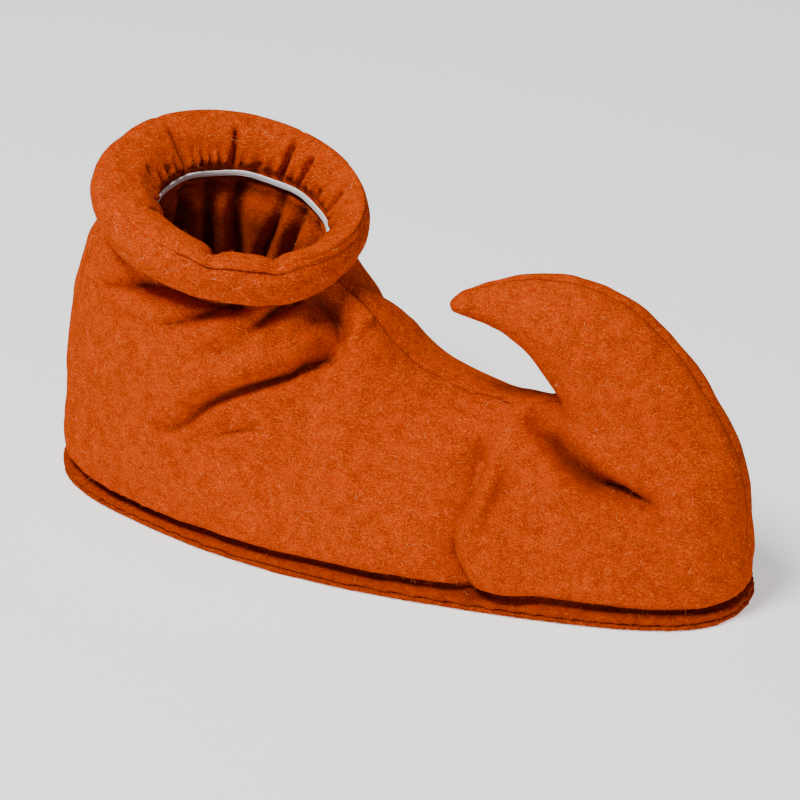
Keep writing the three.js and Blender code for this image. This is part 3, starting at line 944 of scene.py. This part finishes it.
RUST = ((0.84, 0.13, 0.009), (0.7, 0.062, 0.0005), (0.36, 0.024, 0.0002))
SOLE_RUST = ((0.7, 0.11, 0.014), (0.42, 0.038, 0.0005), (0.22, 0.015, 0.0002))
FOLD_DARKNESS = 0.3  # the tone of the painted shade at its darkest, as a share of the felt's dark tone
FOLD_STRENGTH = 0.8
SEAM_DARKNESS = 0.4
SEAM_STRENGTH = 0.8
SEAM_HALF_WIDTH = 0.45 * MM
SEAM_SOLID = 0.35  # share of the seam's half width that is fully dark
SEAM_WANDER = 0.8 * MM  # to either side
ROW_HEIGHT = 220  # between rows of nodes


def give(tree, node, sockets):
    """Gives each named input of a node its constant, or a link from another node's output."""
    for label, value in sockets.items():
        if isinstance(value, bpy.types.NodeSocket):
            tree.links.new(value, node.inputs[label])
        else:
            node.inputs[label].default_value = value


def add_node(tree, kind, at, sockets, **settings):
    node = tree.nodes.new(kind)
    node.location = at
    for key, value in settings.items():
        setattr(node, key, value)
    give(tree, node, sockets)
    return node.outputs


def add_math(tree, at, operation, *values):
    return add_node(tree, "ShaderNodeMath", at, dict(enumerate(values)), operation=operation)[0]


def mix_colours(tree, at, share, first, second):
    sockets = {"Factor": share, "A": first, "B": second}
    return add_node(tree, "ShaderNodeMix", at, sockets, data_type="RGBA")["Result"]


def new_group(name, inputs, outputs):
    """An empty shader group with named inputs, given with their defaults, and named outputs."""
    tree = bpy.data.node_groups.new(name, "ShaderNodeTree")
    for label, kind, default in inputs:
        socket = tree.interface.new_socket(label, in_out="INPUT", socket_type=kind)
        if default is not None:
            socket.default_value = default
    for label, kind in outputs:
        tree.interface.new_socket(label, in_out="OUTPUT", socket_type=kind)
    given = add_node(tree, "NodeGroupInput", (-900, 0), {})
    result = tree.nodes.new("NodeGroupOutput")
    result.location = (900, 0)
    return tree, given, result


def new_material(name, sockets):
    """A material with its shader's constant values. Returns it, its tree and its shader."""
    material = bpy.data.materials.new(name)
    material.use_nodes = True
    tree = material.node_tree
    shader = tree.nodes["Principled BSDF"]
    give(tree, shader, sockets)
    return material, tree, shader


def object_place(tree, at):
    return add_node(tree, "ShaderNodeTexCoord", at, {})["Object"]


def darker(colour, share):
    return (colour[0] * share, colour[1] * share, colour[2] * share, 1)


# The directions that loose fibres lie in, as turns in degrees about X, Y and Z.
FIBRE_TURNS = [(0, 0, 20), (0, 65, 80), (40, 0, 130), (75, 20, 170), (15, 110, 60)]
FIBRE_APART = (0.037, 0.021, 0.013)  # how far one direction's noise lies from the next
FIBRE_DRIFT = (0.004, 0.004, 0.004)  # how far fibres bend off straight
DEEP_APART = (0.31, 0.17, 0.23)  # how far the dark fibres' noise lies from the pale ones'


def fibres_group():
    """Short stretched specks that lie in several directions, as loose fibres on felt do."""
    tree, given, result = new_group(
        "Loose fibres",
        [
            ("Place", "NodeSocketVector", None),
            ("Fineness", "NodeSocketFloat", 1200.0),
            ("Length", "NodeSocketFloat", 9.0),
            ("Amount", "NodeSocketFloat", 0.5),
        ],
        [("Fibres", "NodeSocketFloat")],
    )
    place = given["Place"]
    fine = given["Fineness"]
    drift = add_node(tree, "ShaderNodeTexNoise", (-700, 300), {"Vector": place, "Scale": 160})["Color"]
    sockets = {0: drift, 1: FIBRE_DRIFT, 2: place}
    bent = add_node(tree, "ShaderNodeVectorMath", (-560, 300), sockets, operation="MULTIPLY_ADD")[0]
    stretch = add_math(tree, (-560, 120), "DIVIDE", fine, given["Length"])
    scale = add_node(tree, "ShaderNodeCombineXYZ", (-420, 60), {"X": stretch, "Y": fine, "Z": fine})[0]
    start = add_math(tree, (-420, -200), "MULTIPLY_ADD", given["Amount"], -0.16, 0.74)
    end = add_math(tree, (-240, -200), "ADD", start, 0.09)
    total = None
    for number, turns in enumerate(FIBRE_TURNS):
        row = 300 - number * ROW_HEIGHT
        sockets = {
            "Vector": bent,
            "Rotation": [math.radians(turn) for turn in turns],
            "Location": [number * apart for apart in FIBRE_APART],
        }
        turned = add_node(tree, "ShaderNodeMapping", (-240, row), sockets)[0]
        sockets = {0: turned, 1: scale}
        scaled = add_node(tree, "ShaderNodeVectorMath", (-60, row), sockets, operation="MULTIPLY")[0]
        sockets = {"Vector": scaled, "Scale": 1, "Detail": 0}
        specks = add_node(tree, "ShaderNodeTexNoise", (120, row), sockets)["Fac"]
        sockets = {"Value": specks, "From Min": start, "From Max": end}
        strand = add_node(tree, "ShaderNodeMapRange", (300, row), sockets)[0]
        total = add_math(tree, (520, row), "MAXIMUM", total, strand) if total else strand
    give(tree, result, {"Fibres": total})
    return tree


def felt_group(fibres):
    """The heathered colour of felt, and the height of its napped surface."""
    tree, given, result = new_group(
        "Heathered felt",
        [
            ("Place", "NodeSocketVector", None),
            ("Light", "NodeSocketColor", (0.75, 0.2, 0.045, 1)),
            ("Middle", "NodeSocketColor", (0.5, 0.1, 0.012, 1)),
            ("Dark", "NodeSocketColor", (0.26, 0.04, 0.004, 1)),
        ],
        [("Colour", "NodeSocketColor"), ("Height", "NodeSocketFloat")],
    )
    place = given["Place"]
    sockets = {"Vector": place, "Scale": 1500, "Detail": 2}
    grain = add_node(tree, "ShaderNodeTexNoise", (-700, 200), sockets)["Fac"]
    sockets = {"Vector": place, "Scale": 190, "Detail": 3}
    patches = add_node(tree, "ShaderNodeTexNoise", (-700, -60), sockets)["Fac"]
    sockets = {"Place": place, "Fineness": 2300, "Length": 9, "Amount": 0.55}
    pale = add_node(tree, "ShaderNodeGroup", (-700, -300), sockets, node_tree=fibres)["Fibres"]
    sockets = {0: place, 1: DEEP_APART}
    elsewhere = add_node(tree, "ShaderNodeVectorMath", (-860, -560), sockets, operation="ADD")[0]
    sockets = {"Place": elsewhere, "Fineness": 1700, "Length": 6, "Amount": 0.6}
    deep = add_node(tree, "ShaderNodeGroup", (-700, -560), sockets, node_tree=fibres)["Fibres"]

    mottled = add_math(tree, (-460, 100), "ADD", patches, grain)
    sockets = {"Value": mottled, "From Min": 0.76, "From Max": 1.18}
    body = add_node(tree, "ShaderNodeMapRange", (-280, 100), sockets)[0]
    colour = mix_colours(tree, (-80, 100), body, given["Dark"], given["Middle"])
    deep_share = add_math(tree, (-80, -200), "MULTIPLY", deep, 0.75)
    colour = mix_colours(tree, (120, 60), deep_share, colour, given["Dark"])
    pale_share = add_math(tree, (120, -240), "MULTIPLY", pale, 0.7)
    colour = mix_colours(tree, (320, 40), pale_share, colour, given["Light"])
    nap = add_math(tree, (320, -300), "MULTIPLY_ADD", pale, 0.6, grain)
    give(tree, result, {"Colour": colour, "Height": nap})
    return tree


def felt_material(name, felt, colours, seamed=False):
    """Felt in three tones, darkened where shade is painted on it, with a dark line on the middle plane where
    it is seamed.
    """
    felt_look = {
        "Roughness": 0.95,
        "Specular IOR Level": 0,
        "Sheen Weight": 0.05,
        "Sheen Roughness": 0.4,
        "Sheen Tint": (1, 0.3, 0.06, 1),
    }
    material, tree, shader = new_material(name, felt_look)
    place = object_place(tree, (-1100, 0))
    light, middle, dark = ((*colour, 1) for colour in colours)
    sockets = {"Place": place, "Light": light, "Middle": middle, "Dark": dark}
    surface = add_node(tree, "ShaderNodeGroup", (-800, 0), sockets, node_tree=felt)
    colour = surface["Colour"]
    if seamed:
        line = seam_line(tree, place)
        colour = mix_colours(tree, (-200, 300), line, colour, darker(dark, SEAM_DARKNESS))
    # Painted shade: the colour darkens towards a deep tone as far as the shade stored on each vertex says.
    fold = add_node(tree, "ShaderNodeAttribute", (-500, 700), {}, attribute_name="painted_shade")["Fac"]
    depth = add_math(tree, (-300, 700), "MULTIPLY", fold, FOLD_STRENGTH)
    colour = mix_colours(tree, (-60, 500), depth, colour, darker(dark, FOLD_DARKNESS))
    sockets = {"Height": surface["Height"], "Strength": 0.8, "Distance": 0.45 * MM}
    bump = add_node(tree, "ShaderNodeBump", (-300, -300), sockets)["Normal"]
    give(tree, shader, {"Base Color": colour, "Normal": bump})
    return material


def seam_line(tree, place):
    """How dark the seam is: a thin line along the middle plane, which wanders a little as sewing does."""
    wander = add_node(tree, "ShaderNodeTexNoise", (-900, 400), {"Vector": place, "Scale": 55})["Fac"]
    sideways = add_node(tree, "ShaderNodeSeparateXYZ", (-900, 600), {0: place})["Y"]
    shifted = add_math(tree, (-700, 500), "MULTIPLY_ADD", wander, 2 * SEAM_WANDER, sideways)
    centred = add_math(tree, (-620, 500), "SUBTRACT", shifted, SEAM_WANDER)
    fade = {
        "Value": add_math(tree, (-540, 500), "ABSOLUTE", centred),
        "From Min": SEAM_SOLID * SEAM_HALF_WIDTH,
        "From Max": SEAM_HALF_WIDTH,
        "To Min": SEAM_STRENGTH,
        "To Max": 0,
    }
    return add_node(tree, "ShaderNodeMapRange", (-380, 500), fade, interpolation_type="SMOOTHSTEP")[0]


def fibre_material():
    """Pale rust hairs, some nearly white, told apart by where they lie."""
    material, tree, shader = new_material("Loose pale fibres", {"Roughness": 0.8})
    sockets = {"Vector": object_place(tree, (-700, 0)), "Scale": 240}
    kinds = add_node(tree, "ShaderNodeTexNoise", (-500, 0), sockets)["Fac"]
    sockets = {"Value": kinds, "From Min": 0.5, "From Max": 0.75}
    pale = add_node(tree, "ShaderNodeMapRange", (-300, 0), sockets)[0]
    tone = mix_colours(tree, (-120, 0), pale, (0.8, 0.14, 0.012, 1), (0.95, 0.5, 0.22, 1))
    give(tree, shader, {"Base Color": tone})
    return material


def elastic_material():
    """White ribbed tape: fine ribs round the neck, read from the height along the neck's axis."""
    material, tree, shader = new_material("White elastic", {"Roughness": 0.7, "Sheen Weight": 0.2})
    sockets = {"Vector": object_place(tree, (-900, 0)), "Rotation": (0, -NECK_TILT, 0)}
    turned = add_node(tree, "ShaderNodeMapping", (-700, 0), sockets)[0]
    sockets = {"Vector": turned, "Scale": 420, "Distortion": 0.6}
    ribs = add_node(tree, "ShaderNodeTexWave", (-500, 0), sockets, bands_direction="Z")["Fac"]
    # The tone follows the ribs' height, greyer in the grooves between them: painted shade.
    tone = mix_colours(tree, (-250, 100), ribs, (0.78, 0.78, 0.82, 1), (0.95, 0.95, 0.96, 1))
    sockets = {"Height": ribs, "Strength": 0.5, "Distance": 0.2 * MM}
    bump = add_node(tree, "ShaderNodeBump", (-250, -200), sockets)["Normal"]
    give(tree, shader, {"Base Color": tone, "Normal": bump})
    return material


def dress():
    """Makes each piece and puts it in the place of its CAD node."""
    felt = felt_group(fibres_group())
    rust = felt_material("Rust felt", felt, RUST)
    seamed = felt_material("Rust felt with its middle seam", felt, RUST, seamed=True)
    under = felt_material("Rust felt of the sole", felt, SOLE_RUST)
    white = elastic_material()
    plan = [
        (upper, "upper", seamed, "felt", 0.5),
        (cuff, "cuff", rust, "felt", 0.8),
        (facing, "cuff_facing", rust, "felt", 0.4),
        (elastic, "elastic", white, "elastic_band", None),
        (sole, "sole", under, "felt_sole", 0.6),
    ]
    felts = []
    for make, node, material, slot, fill in plan:
        piece = make()
        piece.data.materials.append(material)
        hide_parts(node)
        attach(piece, "root")
        if fill is not None:
            felts.append(piece)
    fibres = loose_fibres(felts)
    fibres.data.materials.append(fibre_material())
    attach(fibres, "root")


# Camera, floor and light.

# Azimuths and elevations are in degrees, and azimuth 0 stands on the side of -Y.
VIEW_AZIMUTH = 26
VIEW_ELEVATION = 31
VIEW_DISTANCE = 1.7
VIEW_ROLL = math.radians(-0.68)
VIEW_TARGET = Vector((0, 0, 0.06))
SENSOR_WIDTH = 36
PHOTO_LENS = 111.8  # of the whole photograph
CLOSER = 1.62  # the frame closes in on the one shoe
FLOOR_SIZE = 12
FLOOR_GLOW = 0.6
WORLD_LIGHT = 0.13
LAMPS = [
    {"name": "key", "azimuth": -24, "elevation": 66, "distance": 1.6, "size": 0.45, "power": 34},
    {"name": "fill", "azimuth": 80, "elevation": 30, "distance": 1.8, "size": 1.2, "power": 2.5},
]


def away_from_shoe(azimuth, elevation):
    """The direction in which something stands, seen from the shoe."""
    turn = math.radians(azimuth)
    rise = math.radians(elevation)
    return Vector((math.sin(turn) * math.cos(rise), -math.cos(turn) * math.cos(rise), math.sin(rise)))


def camera():
    back = away_from_shoe(VIEW_AZIMUTH, VIEW_ELEVATION)
    bpy.ops.object.camera_add(location=VIEW_TARGET + back * VIEW_DISTANCE)
    eye = bpy.context.object
    eye.rotation_mode = "QUATERNION"
    level = (-back).to_track_quat("-Z", "Y")
    eye.rotation_quaternion = level @ Matrix.Rotation(VIEW_ROLL, 3, "Z").to_quaternion()
    eye.data.lens = PHOTO_LENS * CLOSER
    eye.data.sensor_width = SENSOR_WIDTH
    eye.data.clip_start = 0.1
    eye.data.clip_end = 50
    bpy.context.scene.camera = eye


def softbox(row):
    """A square lamp that faces the shoe."""
    away = away_from_shoe(row["azimuth"], row["elevation"])
    bpy.ops.object.light_add(type="AREA", location=VIEW_TARGET + away * row["distance"])
    lamp = bpy.context.object
    lamp.name = row["name"]
    lamp.rotation_euler = away.to_track_quat("Z", "Y").to_euler()
    lamp.data.size = row["size"]
    lamp.data.energy = row["power"]


def studio():
    """A pale paper floor, which glows a little, under two softboxes."""
    bpy.ops.mesh.primitive_plane_add(size=FLOOR_SIZE, location=(0, 0, 0))
    floor = bpy.context.object
    floor.name = "floor"
    paper_look = {
        "Base Color": (0.95, 0.95, 0.95, 1),
        "Roughness": 0.9,
        "Emission Color": (1, 1, 1, 1),
        "Emission Strength": FLOOR_GLOW,
    }
    floor.data.materials.append(new_material("Pale paper", paper_look)[0])
    world = bpy.data.worlds.new("Studio")
    world.use_nodes = True
    world.node_tree.nodes["Background"].inputs["Color"].default_value = (1, 1, 1, 1)
    world.node_tree.nodes["Background"].inputs["Strength"].default_value = WORLD_LIGHT
    bpy.context.scene.world = world
    for row in LAMPS:
        softbox(row)


camera()
studio()
dress()
